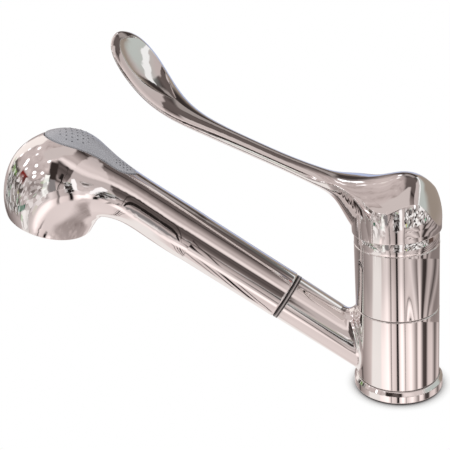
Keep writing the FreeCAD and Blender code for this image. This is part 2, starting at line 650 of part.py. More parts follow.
# Outlet: valve block, spool, spray plate with its nozzles, aerator
spool_hole = outlet_cylinder(value("spool_radius + spool_gap"), value("spool_depth - spool_room"),
                             value("spool_depth + spool_length + spool_room"))
stem_bore = outlet_cylinder(value("stem_radius + spool_gap"), value("spool_depth"),
                            ELBOW_DEPTH + value("beyond"))
inlet_bore = spout_cylinder(value("waterway_bore"), value("waterway_end - overlap"),
                            value("waterway_end + inlet_bore_length"))
solid("valve_block", block_form(0).cut([spool_hole, stem_bore, inlet_bore]))
spool = outlet_cylinder(value("spool_radius"), value("spool_depth"),
                        value("spool_depth") + value("spool_length"))
solid("diverter_spool", spool.fuse(outlet_cylinder(
    value("stem_radius"), value("spool_depth") + value("spool_length"), value("stem_tip"))))

plate_top = "face_recess + plate_thickness"
spray = doc.addObject("PartDesign::Body", "spray_plate")
padded(spray, "spray_disc", [("0", "0", "face_bore - face_clearance"),
                             ("0", "0", "aerator_radius + face_clearance")],
       "face_recess", "plate_thickness")
doc.recompute()
nozzle = padded(spray, "nozzle", [("nozzle_ring", "0", "nozzle_radius")],
                "face_recess - nozzle_height", "nozzle_height + plate_thickness / 2")
doc.recompute()
nozzles = spray.newObject("PartDesign::PolarPattern", "nozzles")
nozzles.Originals = [nozzle]
nozzles.Axis = (origin_plane(spray, "Z_Axis"), [""])
nozzles.Angle = 360
nozzles.setExpression("Occurrences", bound("nozzle_count"))
spray.Tip = nozzles
keep("spray_plate", placed_on_outlet(spray))
keep("spray_gasket", placed_on_outlet(ring("spray_gasket", "nozzle_ring + nozzle_margin",
                                           "face_bore - face_clearance", plate_top, "face_depth")))
keep("aerator", placed_on_outlet(turned("aerator", [
    ("aerator_bore", "face_recess - aerator_lip"), ("aerator_radius", "face_recess - aerator_lip"),
    ("aerator_radius", "face_depth"), ("0", "face_depth"), ("0", "face_depth - aerator_floor"),
    ("aerator_bore", "face_depth - aerator_floor")])))

# Cartridge stack
seal = doc.addObject("PartDesign::Body", "cartridge_seal")
padded(seal, "seal_disc", [("0", "0", "seal_radius")], "cartridge_floor", "seal_thickness")
doc.recompute()
port = seal.newObject("PartDesign::Pocket", "seal_port")
port.Profile = circles_sketch(seal, "seal_port_sketch", [("port_ring", "0", "port_radius")],
                              "cartridge_floor")
port.Type = "ThroughAll"
port.Midplane = True
doc.recompute()
ports = seal.newObject("PartDesign::PolarPattern", "seal_ports")
ports.Originals = [port]
ports.Axis = (origin_plane(seal, "Z_Axis"), [""])
ports.Angle = 360
ports.setExpression("Occurrences", bound("port_count"))
seal.Tip = ports
keep("cartridge_seal", seal)
seat = "cartridge_floor + seal_thickness"
keep("cartridge_body", turned("cartridge_body", [
    ("0", seat), ("cartridge_radius", seat), ("cartridge_radius", "cartridge_ledge"),
    ("neck_radius", "cartridge_ledge"), ("neck_radius", "neck_top"), ("neck_bore", "neck_top"),
    ("neck_bore", "disc_room_top"), ("disc_room", "disc_room_top"), ("disc_room", "disc_seat"),
    ("0", "disc_seat")]))
keep("fixed_disc", ring("fixed_disc", "port_radius", "disc_radius", "disc_seat",
                        "disc_seat + disc_thickness"))
slider_bottom = "disc_seat + disc_thickness + slider_gap"
slider_top = slider_bottom + " + slider_thickness"
keep("moving_disc", ring("moving_disc", "port_radius", "slider_radius", slider_bottom, slider_top))
keep("disc_driver", ring("disc_driver", "stem_ball + ball_gap", "slider_radius", slider_top,
                         "driver_top"))
keep("retaining_nut", ring("retaining_nut", "nut_bore", "cartridge_bore", "cartridge_ledge",
                           "nut_top"))

# Lever carrier with its slot and cross pin, and the stem that rocks on the pin
carrier = rod("carrier_drum", "neck_bore - carrier_gap", "carrier_bottom", "carrier_top")
slot = block("carrier_slot_tool", ("-slot_back", "-carrier_slot / 2", "carrier_bottom - overlap"),
             ("slot_front", "carrier_slot / 2", "carrier_top + overlap"))
pin_hole = doc.addObject("Part::Cylinder", "carrier_pin_tool")
pin_hole.setExpression("Radius", bound("pin_radius"))
pin_hole.setExpression("Height", bound("2 * body_radius"))
pin_hole.Placement = Placement(Vector(0, -value("body_radius"), value("lift_height")),
                               Rotation(Vector(1, 0, 0), -90))
pin_hole.setExpression("Placement.Base.y", bound("-body_radius"))
pin_hole.setExpression("Placement.Base.z", bound("lift_height"))
carrier = cut("lever_carrier", carrier, slot, pin_hole)
doc.recompute()
turned_carrier = carrier.Shape.copy()
turned_carrier.Placement = LEVER_FRAME
solid("lever_carrier", turned_carrier)

pivot = Part.makeCylinder(value("pin_radius"), value("pin_length"),
                          Vector(0, -value("pin_length") / 2, value("lift_height")), SIDEWAYS)
pivot.Placement = LEVER_FRAME
solid("pivot_pin", pivot)
half = value("stem_width") / 2
ball = Part.makeSphere(value("stem_ball"), Vector(0, 0, value("ball_height")))
shank = Part.makeCylinder(value("shank_radius"), value("shank_length"),
                          Vector(0, 0, value("ball_height")))
bar = Part.makeBox(2 * half, 2 * half, value("stem_top - ball_height - bar_above_ball"),
                   Vector(-half, -half, value("ball_height + bar_above_ball")))
stem = bar.fuse([ball, shank]).cut(Part.makeCylinder(
    value("pin_radius + pin_gap"), 4 * half, Vector(0, -2 * half, value("lift_height")),
    SIDEWAYS))
stem.Placement = LEVER_FRAME
solid("lever_stem", stem)

# Dome collar that the lever skirt rides over
dome_form = Part.makeSphere(value("dome_radius"), LIFT_POINT)
dome = dome_form.common(Part.makeCylinder(value("dome_radius + overlap"), value("dome_top - body_top"),
                                          Vector(0, 0, value("body_top"))))
dome = dome.fuse(Part.makeCylinder(value("cartridge_bore - spigot_gap"),
                                   value("dome_top - dome_spigot - spigot_below_top"),
                                   Vector(0, 0, value("dome_spigot"))))
dome = dome.cut(Part.makeCylinder(value("dome_bore"), value("2 * beyond"),
                                  Vector(0, 0, value("lift_height - beyond"))))
solid("dome_collar", dome)


def lever_centre(distance):
    """Return the lever's centre point and rise angle at a distance from the root of its shaft."""
    point = Vector(value("shaft_root_reach"), 0, value("shaft_height"))
    rises = [(value("shaft_length"), value("shaft_rise"), value("shaft_end_rise")),
             (value("paddle_bend"), value("shaft_end_rise"), value("paddle_rise")),
             (value("paddle_length"), value("paddle_rise"), value("paddle_rise"))]
    rise = math.radians(value("shaft_rise"))
    for length, begin, end in rises:
        run = min(max(distance, 0.0), length)
        rise = math.radians(begin + (end - begin) * run / length)
        middle = math.radians(begin) / 2 + rise / 2
        chord = run
        if abs(rise - math.radians(begin)) > NEAR_STRAIGHT:
            half_turn = (rise - math.radians(begin)) / 2
            chord = run * math.sin(half_turn) / half_turn
        point = point + Vector(math.cos(middle) * chord, 0, math.sin(middle) * chord)
        distance -= length
        if distance <= 0:
            break
    return point, rise


def lever_section(distance, half_width, half_thickness, lift=0.0):
    """Return one section across the lever, square to its centre line."""
    point, rise = lever_centre(distance)
    up = Vector(-math.sin(rise), 0, math.cos(rise))
    return Section(point + up * lift, half_width, half_thickness, half_thickness, up)


def root_section(reach, edge_height, half_width, top, low, crown, keel):
    """Return one upright section of the lever's flared root, sized with the cap."""
    grown = value("cap_radius") / ROOT_DRAWN_AT
    centre = LIFT_POINT + Vector(reach, 0, edge_height) * grown
    return Section(centre, half_width * grown, (top - edge_height) * grown,
                   (edge_height - low) * grown, Vector(0, 0, 1), crown, keel)


def lever_form():
    """Return the lever from inside the cap to the tip of the paddle."""
    neck = value("shaft_length")
    total = value("shaft_length + paddle_bend + paddle_length")
    across = value("shaft_width")
    through = value("shaft_thickness")
    flare = value("shaft_flare")
    wide = value("paddle_width")
    deep = value("paddle_thickness")
    sections = [root_section(*row) for row in ROOT_ROWS]
    sections += [
        lever_section(0, value("shaft_root_width"), value("shaft_root_thickness")),
        lever_section(value("shaft_taper"), across + flare, through + flare),
        lever_section(value("shaft_middle"), across, through),
        lever_section(neck - value("neck_before_bend"), across + value("neck_swell"), through),
        lever_section(neck + value("cheek_after_bend"), wide * CHEEK_SHARE, through),
        lever_section(neck + value("palm_after_bend"), wide * PALM_SHARE, deep)]
    sections += [lever_section(total - before_tip, wide * width_share, deep * depth_share)
                 for before_tip, width_share, depth_share in TIP_ROWS]
    return section_loft(sections)


def dish_form():
    """Return the hollow of the spoon-shaped paddle."""
    total = value("shaft_length + paddle_bend + paddle_length")
    wide = value("paddle_width - dish_rim")
    deep = value("dish_depth")
    lift = value("paddle_thickness")
    return section_loft([
        lever_section(total - before_tip, wide * width_share, deep * depth_share, lift * lift_share)
        for before_tip, width_share, depth_share, lift_share in DISH_ROWS])


# Lever cap: a turned dome with the lever growing out of it, hollowed by a ball about the lift point
cap_curve = Part.BSplineCurve()
cap_radius = value("cap_radius")
cap_top = value("cap_top")
cap_edge = [Vector(cap_radius - inset, 0, cap_top - depth) for inset, depth in CAP_ROWS]
cap_curve.interpolate(Points=cap_edge + [Vector(0, 0, cap_top)],
                      InitialTangent=Vector(CAP_LEAN, 0, 1), FinalTangent=Vector(-1, 0, 0))
cap_low = cap_edge[0]
cap_face = Part.Face(Part.Wire([
    cap_curve.toShape(),
    Part.LineSegment(Vector(0, 0, cap_top), Vector(0, 0, cap_low.z)).toShape(),
    Part.LineSegment(Vector(0, 0, cap_low.z), cap_low).toShape()]))
cap = cap_face.revolve(Vector(0, 0, 0), Vector(0, 0, 1), 360)
roof = section_loft([root_section(reach, *SHOULDER_ROW) for reach in SHOULDER_REACHES])
whole_lever = lever_form()
beyond = value("beyond")
front_part = Part.makeBox(8 * beyond, 4 * beyond, 6 * beyond,
                          Vector(value("front_start"), -2 * beyond, 0))
crown_part = cap.common(whole_lever)
shoulder_part = cap.common(roof)
reaching_part = whole_lever.common(front_part)
lever = crown_part.fuse(shoulder_part).fuse(reaching_part)
below = Part.makeBox(4 * beyond, 4 * beyond, 2 * beyond, Vector(-2 * beyond, -2 * beyond, -2 * beyond))
below.Placement = Placement(Vector(0, 0, value("skirt_height")),
                            Rotation(Vector(0, 1, 0), value("skirt_tilt")))
hollow = Part.makeSphere(value("dome_radius + skirt_gap"), LIFT_POINT)
socket_half = half + value("socket_gap")
socket = Part.makeBox(2 * socket_half, 2 * socket_half, value("stem_top + socket_room - lift_height"),
                      Vector(-socket_half, -socket_half, value("lift_height")))
skin = lever.copy()
screw_foot = Vector(socket_half, 0, value("screw_height"))
screw_fall = math.radians(value("screw_fall"))
screw_way = Vector(math.cos(screw_fall), 0, -math.sin(screw_fall))
plug_foot = screw_foot + screw_way * value("plug_start")
screw = Part.makeCylinder(value("screw_radius"), value("screw_length"), screw_foot, screw_way)
screw = screw.cut(socket)
plug = Part.makeCylinder(value("plug_radius"), beyond / 2, plug_foot, screw_way).common(skin)
screw_hole = Part.makeCylinder(value("screw_radius"), beyond, screw_foot, screw_way)
plug_hole = Part.makeCylinder(value("plug_radius"), beyond / 2, plug_foot, screw_way)
lever = lever.cut([below, hollow, socket, dish_form(), screw_hole, plug_hole])
for label, piece in (("grub_screw", screw), ("index_plug", plug)):
    piece.Placement = LEVER_FRAME.multiply(piece.Placement)
    solid(label, piece)
lever.Placement = LEVER_FRAME
solid("lever_handle", lever)

doc.recompute()
for item in doc.Objects:
    if "Invalid" in item.State or "Error" in item.State:
        raise RuntimeError("%s failed: %s" % (item.Label, item.State))
for item in nodes:
    shape = item.Shape
    if shape.isNull() or not shape.isValid() or shape.Volume <= 0:
        raise RuntimeError("%s has no valid solid" % item.Label)
    shape.exportStep("parts/%s.step" % item.Label)
    print("%-18s %d solid(s) %9.1f mm3" % (item.Label, len(shape.Solids), shape.Volume))
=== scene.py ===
"""Looks of the pull-out mixer tap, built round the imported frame. Metres, +X below the spout, +Z up."""
import json
import math

import bmesh
import bpy
from mathutils import Matrix, Vector
from mathutils.bvhtree import BVHTree


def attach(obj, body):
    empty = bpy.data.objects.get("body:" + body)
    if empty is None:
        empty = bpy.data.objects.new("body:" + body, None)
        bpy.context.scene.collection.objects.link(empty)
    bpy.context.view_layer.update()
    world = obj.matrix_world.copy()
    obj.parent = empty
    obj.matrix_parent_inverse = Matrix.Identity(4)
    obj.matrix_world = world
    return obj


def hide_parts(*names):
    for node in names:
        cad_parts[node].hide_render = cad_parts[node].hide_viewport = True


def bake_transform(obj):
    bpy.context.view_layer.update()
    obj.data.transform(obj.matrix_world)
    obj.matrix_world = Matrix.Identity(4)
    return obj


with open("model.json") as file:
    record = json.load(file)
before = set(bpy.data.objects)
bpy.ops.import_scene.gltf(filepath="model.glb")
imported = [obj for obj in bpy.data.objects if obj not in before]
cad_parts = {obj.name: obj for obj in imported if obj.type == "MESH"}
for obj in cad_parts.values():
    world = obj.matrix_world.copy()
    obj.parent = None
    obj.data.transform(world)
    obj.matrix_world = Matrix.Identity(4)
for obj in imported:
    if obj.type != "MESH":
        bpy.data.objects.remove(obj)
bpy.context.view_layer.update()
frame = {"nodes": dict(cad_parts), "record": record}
NODES = frame["nodes"]
MM = 0.001

# The spout's axis leaves the column's axis at this height in millimetres and rises along GRIP_AXIS.
SPOUT_HEIGHT = 10.47
GRIP_AXIS = (0.8411, 0.0, 0.5408)
GRIP_NORMAL = (-0.5408, 0.0, 0.8411)

# Noise textures of the materials: scale, detail and, where it isn't the usual, roughness.
HAZE_NOISE = (55.0, 6.0, 0.6)
SPOT_NOISE = (24.0, 3.0)
WAVE_NOISE = (30.0, 1.0, 0.4)
DRIFT_NOISE = (60.0, 5.0)
PATCH_NOISE = (180.0, 3.0)
GRAIN_DETAIL = 3.0
# Where in those noises the darker tone ends and the lighter one begins.
SPOT_TURN = (0.35, 0.65)
DRIFT_TURN = (0.3, 0.7)

# Chrome plating: its roughness, how much its spots dim it, its edges' radius and its waves' height.
CHROME_ROUGHNESS = (0.004, 0.03)
CHROME_DIM = 0.95
EDGE_RADIUS = 0.0007
EDGE_SAMPLES = 6
WAVE_HEIGHT = 0.00001

# Matt surfaces vary by this much to both sides of their roughness.
ROUGHNESS_DRIFT = 0.07

# The dark ring: its span along the spout in metres, its two tones (the paler a painted highlight),
# their places across that span and its roughness.
BUSH_SPAN = (0.08606, 0.08856)
BUSH_DARK = (0.022, 0.018, 0.018)
BUSH_PAINTED_HIGHLIGHT = (0.30, 0.26, 0.25)
# The paler bands across the middle of the ring are a painted highlight.
BUSH_BANDS = [(0.25, BUSH_DARK), (0.42, BUSH_PAINTED_HIGHLIGHT), (0.58, BUSH_PAINTED_HIGHLIGHT), (0.75, BUSH_DARK)]
BUSH_ROUGHNESS = (0.22, 0.36)


def new_material(name):
    """Return a material with its Principled shader and node tree, ready for more nodes."""
    material = bpy.data.materials.new(name)
    material.use_nodes = True
    return material, material.node_tree, material.node_tree.nodes["Principled BSDF"]


def add(tree, kind, **values):
    """Add one shader node and set its plain properties."""
    node = tree.nodes.new(kind)
    for key, item in values.items():
        setattr(node, key, item)
    return node


def feed(tree, socket, item):
    """Link an output to a socket, or give the socket a plain number or colour."""
    if isinstance(item, bpy.types.NodeSocket):
        tree.links.new(item, socket)
    elif isinstance(item, tuple):
        socket.default_value = (*item, 1)
    else:
        socket.default_value = item


def noise_at(tree, vector, scale, detail, roughness=0.5):
    """Return the outputs of a noise texture at a given vector."""
    node = add(tree, "ShaderNodeTexNoise")
    node.inputs["Scale"].default_value = scale
    node.inputs["Detail"].default_value = detail
    node.inputs["Roughness"].default_value = roughness
    tree.links.new(vector, node.inputs["Vector"])
    return node.outputs


def noise(tree, scale, detail, roughness=0.5):
    """Return the factor of a noise texture in object space."""
    place = add(tree, "ShaderNodeTexCoord")
    return noise_at(tree, place.outputs["Object"], scale, detail, roughness)["Fac"]


def ramp(tree, source, stops):
    """Turn a factor into a colour along the given (place, colour) stops."""
    node = add(tree, "ShaderNodeValToRGB")
    elements = node.color_ramp.elements
    elements[0].position, elements[0].color = stops[0][0], (*stops[0][1], 1)
    elements[1].position, elements[1].color = stops[-1][0], (*stops[-1][1], 1)
    for place, colour in stops[1:-1]:
        element = elements.new(place)
        element.color = (*colour, 1)
    tree.links.new(source, node.inputs["Fac"])
    return node.outputs["Color"]


def rescale(tree, source, low, high):
    """Map a 0 to 1 factor to a range."""
    node = add(tree, "ShaderNodeMapRange")
    node.inputs["To Min"].default_value = low
    node.inputs["To Max"].default_value = high
    tree.links.new(source, node.inputs["Value"])
    return node.outputs["Result"]


def share_between(tree, source, low, high, kind="LINEAR"):
    """Return 0 below low and 1 above high, linear or smooth between."""
    node = add(tree, "ShaderNodeMapRange", interpolation_type=kind)
    node.inputs["From Min"].default_value = low
    node.inputs["From Max"].default_value = high
    tree.links.new(source, node.inputs["Value"])
    return node.outputs["Result"]


def smooth_step(tree, source, low, high):
    """Return 0 below low and 1 above high, smooth between."""
    return share_between(tree, source, low, high, "SMOOTHSTEP")


def dot(tree, vector, axis):
    """Return how far a vector reaches along a fixed axis."""
    node = add(tree, "ShaderNodeVectorMath", operation="DOT_PRODUCT")
    node.inputs[1].default_value = axis
    tree.links.new(vector, node.inputs[0])
    return node.outputs["Value"]


def bump(tree, shader, source, distance, base=None):
    """Raise a shader's surface by a factor over a distance in metres, on top of a base normal if given."""
    node = add(tree, "ShaderNodeBump")
    node.inputs["Distance"].default_value = distance
    tree.links.new(source, node.inputs["Height"])
    if base is not None:
        tree.links.new(base, node.inputs["Normal"])
    tree.links.new(node.outputs["Normal"], shader.inputs["Normal"])


def chrome(name, tint):
    """Polished chrome plating: rounded edges, slight plating waves, haze and faint wiping marks."""
    material, tree, shader = new_material(name)
    shader.inputs["Metallic"].default_value = 1.0
    haze = noise(tree, *HAZE_NOISE)
    tree.links.new(rescale(tree, haze, *CHROME_ROUGHNESS), shader.inputs["Roughness"])
    dim = tuple(CHROME_DIM * part for part in tint)
    spots = ramp(tree, noise(tree, *SPOT_NOISE), list(zip(SPOT_TURN, (dim, tint))))
    tree.links.new(spots, shader.inputs["Base Color"])
    rounded = add(tree, "ShaderNodeBevel")
    rounded.samples = EDGE_SAMPLES
    rounded.inputs["Radius"].default_value = EDGE_RADIUS
    bump(tree, shader, noise(tree, *WAVE_NOISE), WAVE_HEIGHT, rounded.outputs["Normal"])
    return material


def moulded(name, dark, light, rough, grain=900.0, depth=0.00004, metallic=0.0):
    """Moulded or machined matt surface with fine grain and slight colour drift."""
    material, tree, shader = new_material(name)
    shader.inputs["Metallic"].default_value = metallic
    drift = ramp(tree, noise(tree, *DRIFT_NOISE), list(zip(DRIFT_TURN, (dark, light))))
    tree.links.new(drift, shader.inputs["Base Color"])
    uneven = rescale(tree, noise(tree, *PATCH_NOISE), rough - ROUGHNESS_DRIFT, rough + ROUGHNESS_DRIFT)
    tree.links.new(uneven, shader.inputs["Roughness"])
    bump(tree, shader, noise(tree, grain, GRAIN_DETAIL), depth)
    return material


def bush_with_painted_highlight():
    """Dark ring between stub and grip, with a painted highlight: a paler line round the middle of its
    edge.
    """
    material, tree, shader = new_material("black_bush")
    place = add(tree, "ShaderNodeTexCoord")
    across = share_between(tree, dot(tree, place.outputs["Object"], GRIP_AXIS), *BUSH_SPAN)
    # Painted highlight: a paler band round the middle of the ring's span.
    tree.links.new(ramp(tree, across, BUSH_BANDS), shader.inputs["Base Color"])
    uneven = rescale(tree, noise(tree, *PATCH_NOISE), *BUSH_ROUGHNESS)
    tree.links.new(uneven, shader.inputs["Roughness"])
    return material


def make_materials():
    """Return every material by its slot name in the record."""
    return {
        "chrome": chrome("chrome_plating", (0.90, 0.885, 0.875)),
        "chromed_plastic": chrome("chromed_moulding", (0.90, 0.885, 0.88)),
        "brass": moulded("turned_brass", (0.62, 0.46, 0.22), (0.78, 0.62, 0.34), rough=0.32,
                         grain=500.0, depth=0.00002, metallic=1.0),
        "seal": moulded("black_seal", (0.012, 0.012, 0.013), (0.03, 0.03, 0.032), rough=0.62),
        "bearing": moulded("white_acetal", (0.72, 0.72, 0.69), (0.82, 0.82, 0.79), rough=0.4),
        "cartridge_plastic": moulded("grey_moulding", (0.40, 0.42, 0.44), (0.50, 0.52, 0.54), rough=0.45),
        "ceramic": moulded("lapped_ceramic", (0.80, 0.79, 0.76), (0.88, 0.87, 0.85), rough=0.18),
        "black_plastic": bush_with_painted_highlight(),
        "hose_braid": moulded("hose_skin", (0.16, 0.165, 0.175), (0.34, 0.345, 0.36), rough=0.42),
        "pin_steel": moulded("ground_steel", (0.42, 0.42, 0.43), (0.56, 0.56, 0.57), rough=0.25,
                             depth=0.00001, metallic=1.0),
        "spray_rubber": moulded("spray_rubber", (0.055, 0.055, 0.06), (0.085, 0.085, 0.092), rough=0.58),
        "soft_grey": moulded("soft_touch_grey", (0.29, 0.29, 0.312), (0.35, 0.35, 0.372), rough=0.36,
                             grain=700.0, depth=0.000008),
        "index_colour": moulded("index_red", (0.45, 0.02, 0.025), (0.60, 0.03, 0.035), rough=0.3),
    }


MATERIALS = make_materials()


def finish_nodes():
    """Give every CAD node the material of its slot."""
    for row in frame["record"]["subparts"]:
        node = NODES[row["node"]]
        node.data.materials.clear()
        node.data.materials.append(MATERIALS[row["material_slot"]])
        for polygon in node.data.polygons:
            polygon.use_smooth = True


# Fields of dots on the soft pad, in millimetres: place along the spout, pitch, half length, half width.
DOT_FIELDS = ((248.5, 3.9, 11.5, 10.5), (213.0, 2.7, 6.2, 4.6))
# Their rows stand this share of the pitch apart.
DOT_ROW_SHARE = 0.87
# One dot in metres, the share of its height that is sunk, its facets, its tones and its roughness.
DOT_RADIUS = 0.55 * MM
DOT_HEIGHT = 0.30 * MM
DOT_SUNK = 0.15
DOT_RINGS = 4
DOT_SIDES = 14
DOT_TONES = ((0.085, 0.088, 0.10), (0.12, 0.123, 0.138))
DOT_ROUGHNESS = 0.36
# The pad's surface is searched from this far above the spout's axis, in millimetres.
ABOVE_PAD = 40.0

# Weave of the hose's sleeve: facets, strands, lead and depth in metres, and how sharp its edges are.
HOSE_SIDES = 96
HOSE_RINGS = 240
WEAVE_STRANDS = 6
WEAVE_LEAD = 5.5 * MM
WEAVE_DEPTH = 0.22 * MM
WEAVE_SHARPNESS = 2.5


def surface_of(node):
    """Return a CAD node's surface, ready for rays to be cast at it."""
    mesh = NODES[node].data
    return BVHTree.FromPolygons([vertex.co for vertex in mesh.vertices],
                                [tuple(polygon.vertices) for polygon in mesh.polygons])


def new_piece(name, mesh, slot_name, material=None):
    """Add a finished piece in the material of one of the record's slots, or in its own."""
    piece = bpy.data.objects.new(name, mesh)
    bpy.context.scene.collection.objects.link(piece)
    mesh.materials.append(material or MATERIALS[slot_name])
    for polygon in mesh.polygons:
        polygon.use_smooth = True
    return piece


def add_dot(shape, place, normal):
    """Add one low dome to a bmesh, its rim sunk a little into the surface."""
    turn = normal.to_track_quat("Z", "Y").to_matrix()
    rows = []
    for ring in range(DOT_RINGS):
        angle = 0.5 * math.pi * ring / DOT_RINGS
        rows.append([shape.verts.new(place + turn @ Vector((
            DOT_RADIUS * math.cos(angle) * math.cos(math.tau * step / DOT_SIDES),
            DOT_RADIUS * math.cos(angle) * math.sin(math.tau * step / DOT_SIDES),
            DOT_HEIGHT * math.sin(angle) - DOT_SUNK * DOT_HEIGHT))) for step in range(DOT_SIDES)])
    top = shape.verts.new(place + turn @ Vector((0.0, 0.0, (1.0 - DOT_SUNK) * DOT_HEIGHT)))
    for lower, upper in zip(rows, rows[1:]):
        for step in range(DOT_SIDES):
            following = (step + 1) % DOT_SIDES
            shape.faces.new((lower[step], lower[following], upper[following], upper[step]))
    for step in range(DOT_SIDES):
        shape.faces.new((rows[-1][step], rows[-1][(step + 1) % DOT_SIDES], top))


def on_spout(along, across, out):
    """Return a point of the spout's own frame, given in millimetres, in metres of the common frame."""
    return MM * Vector((along * GRIP_AXIS[0] + out * GRIP_NORMAL[0], across,
                        SPOUT_HEIGHT + along * GRIP_AXIS[2] + out * GRIP_NORMAL[2]))


def dot_places():
    """Yield the points above the pad over which the dots stand, in rows that are offset in turn."""
    for middle, pitch, half_length, half_width in DOT_FIELDS:
        rows = int(half_width // pitch) + 1
        columns = int(half_length // pitch) + 1
        for row in range(-rows, rows + 1):
            for column in range(-columns, columns + 1):
                along = pitch * (column + 0.5 * (row % 2))
                across = DOT_ROW_SHARE * pitch * row
                if (along / half_length) ** 2 + (across / half_width) ** 2 <= 1.0:
                    yield on_spout(middle + along, across, ABOVE_PAD)


def make_grip_dots():
    """Small raised dots on both ends of the soft pad: a wide field on the head, a small one behind."""
    shape = bmesh.new()
    pad = surface_of("rocker_pad")
    down = -Vector(GRIP_NORMAL)
    for start in dot_places():
        place, normal, _, _ = pad.ray_cast(start, down)
        if place is not None:
            add_dot(shape, place, normal)
    mesh = bpy.data.meshes.new("grip_dots")
    shape.to_mesh(mesh)
    shape.free()
    dots = moulded("soft_dots", *DOT_TONES, rough=DOT_ROUGHNESS)
    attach(new_piece("grip_dots", mesh, "soft_grey", dots), "rocker")


def make_hose():
    """Woven steel sleeve of the pull-out hose, in the place of its plain CAD solid."""
    axis = Vector(GRIP_AXIS).normalized()
    root = MM * Vector((0.0, 0.0, SPOUT_HEIGHT))
    offsets = [vertex.co - root for vertex in NODES["pull_out_hose"].data.vertices]
    reaches = [offset.dot(axis) for offset in offsets]
    start, end = min(reaches), max(reaches)
    radius = max((offset - offset.dot(axis) * axis).length for offset in offsets)
    side = Vector((0.0, 1.0, 0.0))
    up = axis.cross(side)
    verts = []
    for ring in range(HOSE_RINGS + 1):
        reach = start + (end - start) * ring / HOSE_RINGS
        lead = math.tau * (reach - start) / WEAVE_LEAD
        for step in range(HOSE_SIDES):
            angle = math.tau * step / HOSE_SIDES
            over = math.sin(WEAVE_STRANDS * angle + lead) * math.sin(WEAVE_STRANDS * angle - lead)
            rise = radius - WEAVE_DEPTH * (0.5 - 0.5 * math.tanh(WEAVE_SHARPNESS * over))
            verts.append(root + reach * axis + rise * (math.cos(angle) * side + math.sin(angle) * up))
    faces = []
    for ring in range(HOSE_RINGS):
        for step in range(HOSE_SIDES):
            following = (step + 1) % HOSE_SIDES
            faces.append((ring * HOSE_SIDES + step, ring * HOSE_SIDES + following,
                          (ring + 1) * HOSE_SIDES + following, (ring + 1) * HOSE_SIDES + step))
    faces.append(tuple(reversed(range(HOSE_SIDES))))
    faces.append(tuple(HOSE_RINGS * HOSE_SIDES + step for step in range(HOSE_SIDES)))
    mesh = bpy.data.meshes.new("woven_hose")
    mesh.from_pydata(verts, [], faces)
    piece = new_piece("woven_hose", mesh, "hose_braid")
    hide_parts("pull_out_hose")
    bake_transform(piece)


# The photograph's viewpoint, found from the column's edges, its two seams and the base ring.
CAMERA_PLACE = (-0.06483, 0.47944, 0.30859)
CAMERA_RIGHT = (-0.9497, -0.3015, -0.0849)
CAMERA_FORWARD = (0.3108, -0.8728, -0.3763)
CAMERA_LENS = 70.43
CAMERA_SENSOR = 36.0
CAMERA_NEAR = 0.01


def make_camera():
    """Set the camera at the photograph's viewpoint, its axes made square to each other."""
    place = Vector(CAMERA_PLACE)
    forward = Vector(CAMERA_FORWARD).normalized()
    up = Vector(CAMERA_RIGHT).normalized().cross(forward)
    right = forward.cross(up)
    data = bpy.data.cameras.new("camera")
    data.sensor_width = CAMERA_SENSOR
    data.sensor_fit = "HORIZONTAL"
    data.lens = CAMERA_LENS
    data.clip_start = CAMERA_NEAR
    camera = bpy.data.objects.new("camera", data)
    camera.matrix_world = Matrix((
        (right.x, up.x, -forward.x, place.x),
        (right.y, up.y, -forward.y, place.y),
        (right.z, up.z, -forward.z, place.z),
        (0, 0, 0, 1)))
    bpy.context.scene.collection.objects.link(camera)
    bpy.context.scene.camera = camera


# The room that polished metal mirrors is made of formulas, with tones set from 0 to 255.
# Bearings are in degrees, counted from the line from the tap to the camera, which stands at
# TOWARDS_CAMERA from +X.
TOWARDS_CAMERA = 97.7
EYE_GAMMA = 2.2
# Green and blue of the room's warm grey, as shares of red: at black, and what white adds.
GREEN_SHARE = (0.875, 0.07)
BLUE_SHARE = (0.845, 0.09)

# Slow bending of the whole room: noise, and how far it shifts a direction.
WANDER_NOISE = (2.6, 1.0)
WANDER_REACH = (0.14, 0.14, 0.10)

# Ceiling to floor: elevation in degrees and level, with soft patches that multiply it.
GRADIENT = [
    (-90, 150), (-66, 160), (-50, 175), (-34, 215), (-24, 195), (0, 175), (20, 190), (45, 205),
    (62, 195), (90, 180)]
CLOUD_NOISE = (4.0, 3.0, 0.55)
CLOUD_TONES = [
    (0.33, (0.70, 0.68, 0.67)), (0.46, (0.95, 0.94, 0.94)), (0.56, (1.0, 1.0, 1.0)),
    (0.68, (1.3, 1.3, 1.3))]

# Round lamps on the ceiling: spacing, radius (least, and what varies), edge, heights and light.
LAMP_SCALE = 6.5
LAMP_DISORDER = 0.75
LAMP_LEAST = 0.12
LAMP_SPREAD = 0.24
LAMP_EDGE = (0.45, 1.3)
LAMP_LOWEST = (-0.02, 0.04)
LAMP_HIGHEST = (0.82, 0.72)
LAMP_LIGHT = (2.6, 2.6, 2.65)

# Upright stands that the column mirrors: bearing and level.
PILLARS = [
    (-180, 205), (-170, 220), (-158, 170), (-128, 140), (-121, 60), (-116, 130), (-98, 150),
    (-55, 215), (-25, 245), (-18, 200), (-16, 25), (-14, 210), (-5, 190), (-3, 30), (1, 25),
    (3, 205), (12, 255), (18, 215), (19, 45), (21, 205), (36, 240), (52, 120), (57, 225), (64, 215),
    (74, 70), (84, 60), (92, 185), (106, 200), (122, 85), (140, 190), (160, 140)]
# The stands fade in and out between these heights, all as the vertical part of a direction.
STANDS_TOP = (-0.20, -0.30)
STANDS_FOOT = (-0.66, -0.56)
BRIGHT_FOOT = (-0.44, -0.52)
BRIGHT_FOOT_GAIN = 1.3
DIM_TOP = (-0.48, -0.44)
DIM_TOP_GAIN = 0.84
# Swirls that squeeze the stands together, one below the other, to one side of the column.
SWIRL_START = -0.420
SWIRL_PITCH = 0.062
SWIRL_CURVE = 2.0
SWIRL_STRENGTH = 1.5
SWIRL_FOOT = (-0.492, -0.480)
SWIRL_SIDE = (0.35, 0.7)
SWIRL_CENTRE = 1.12

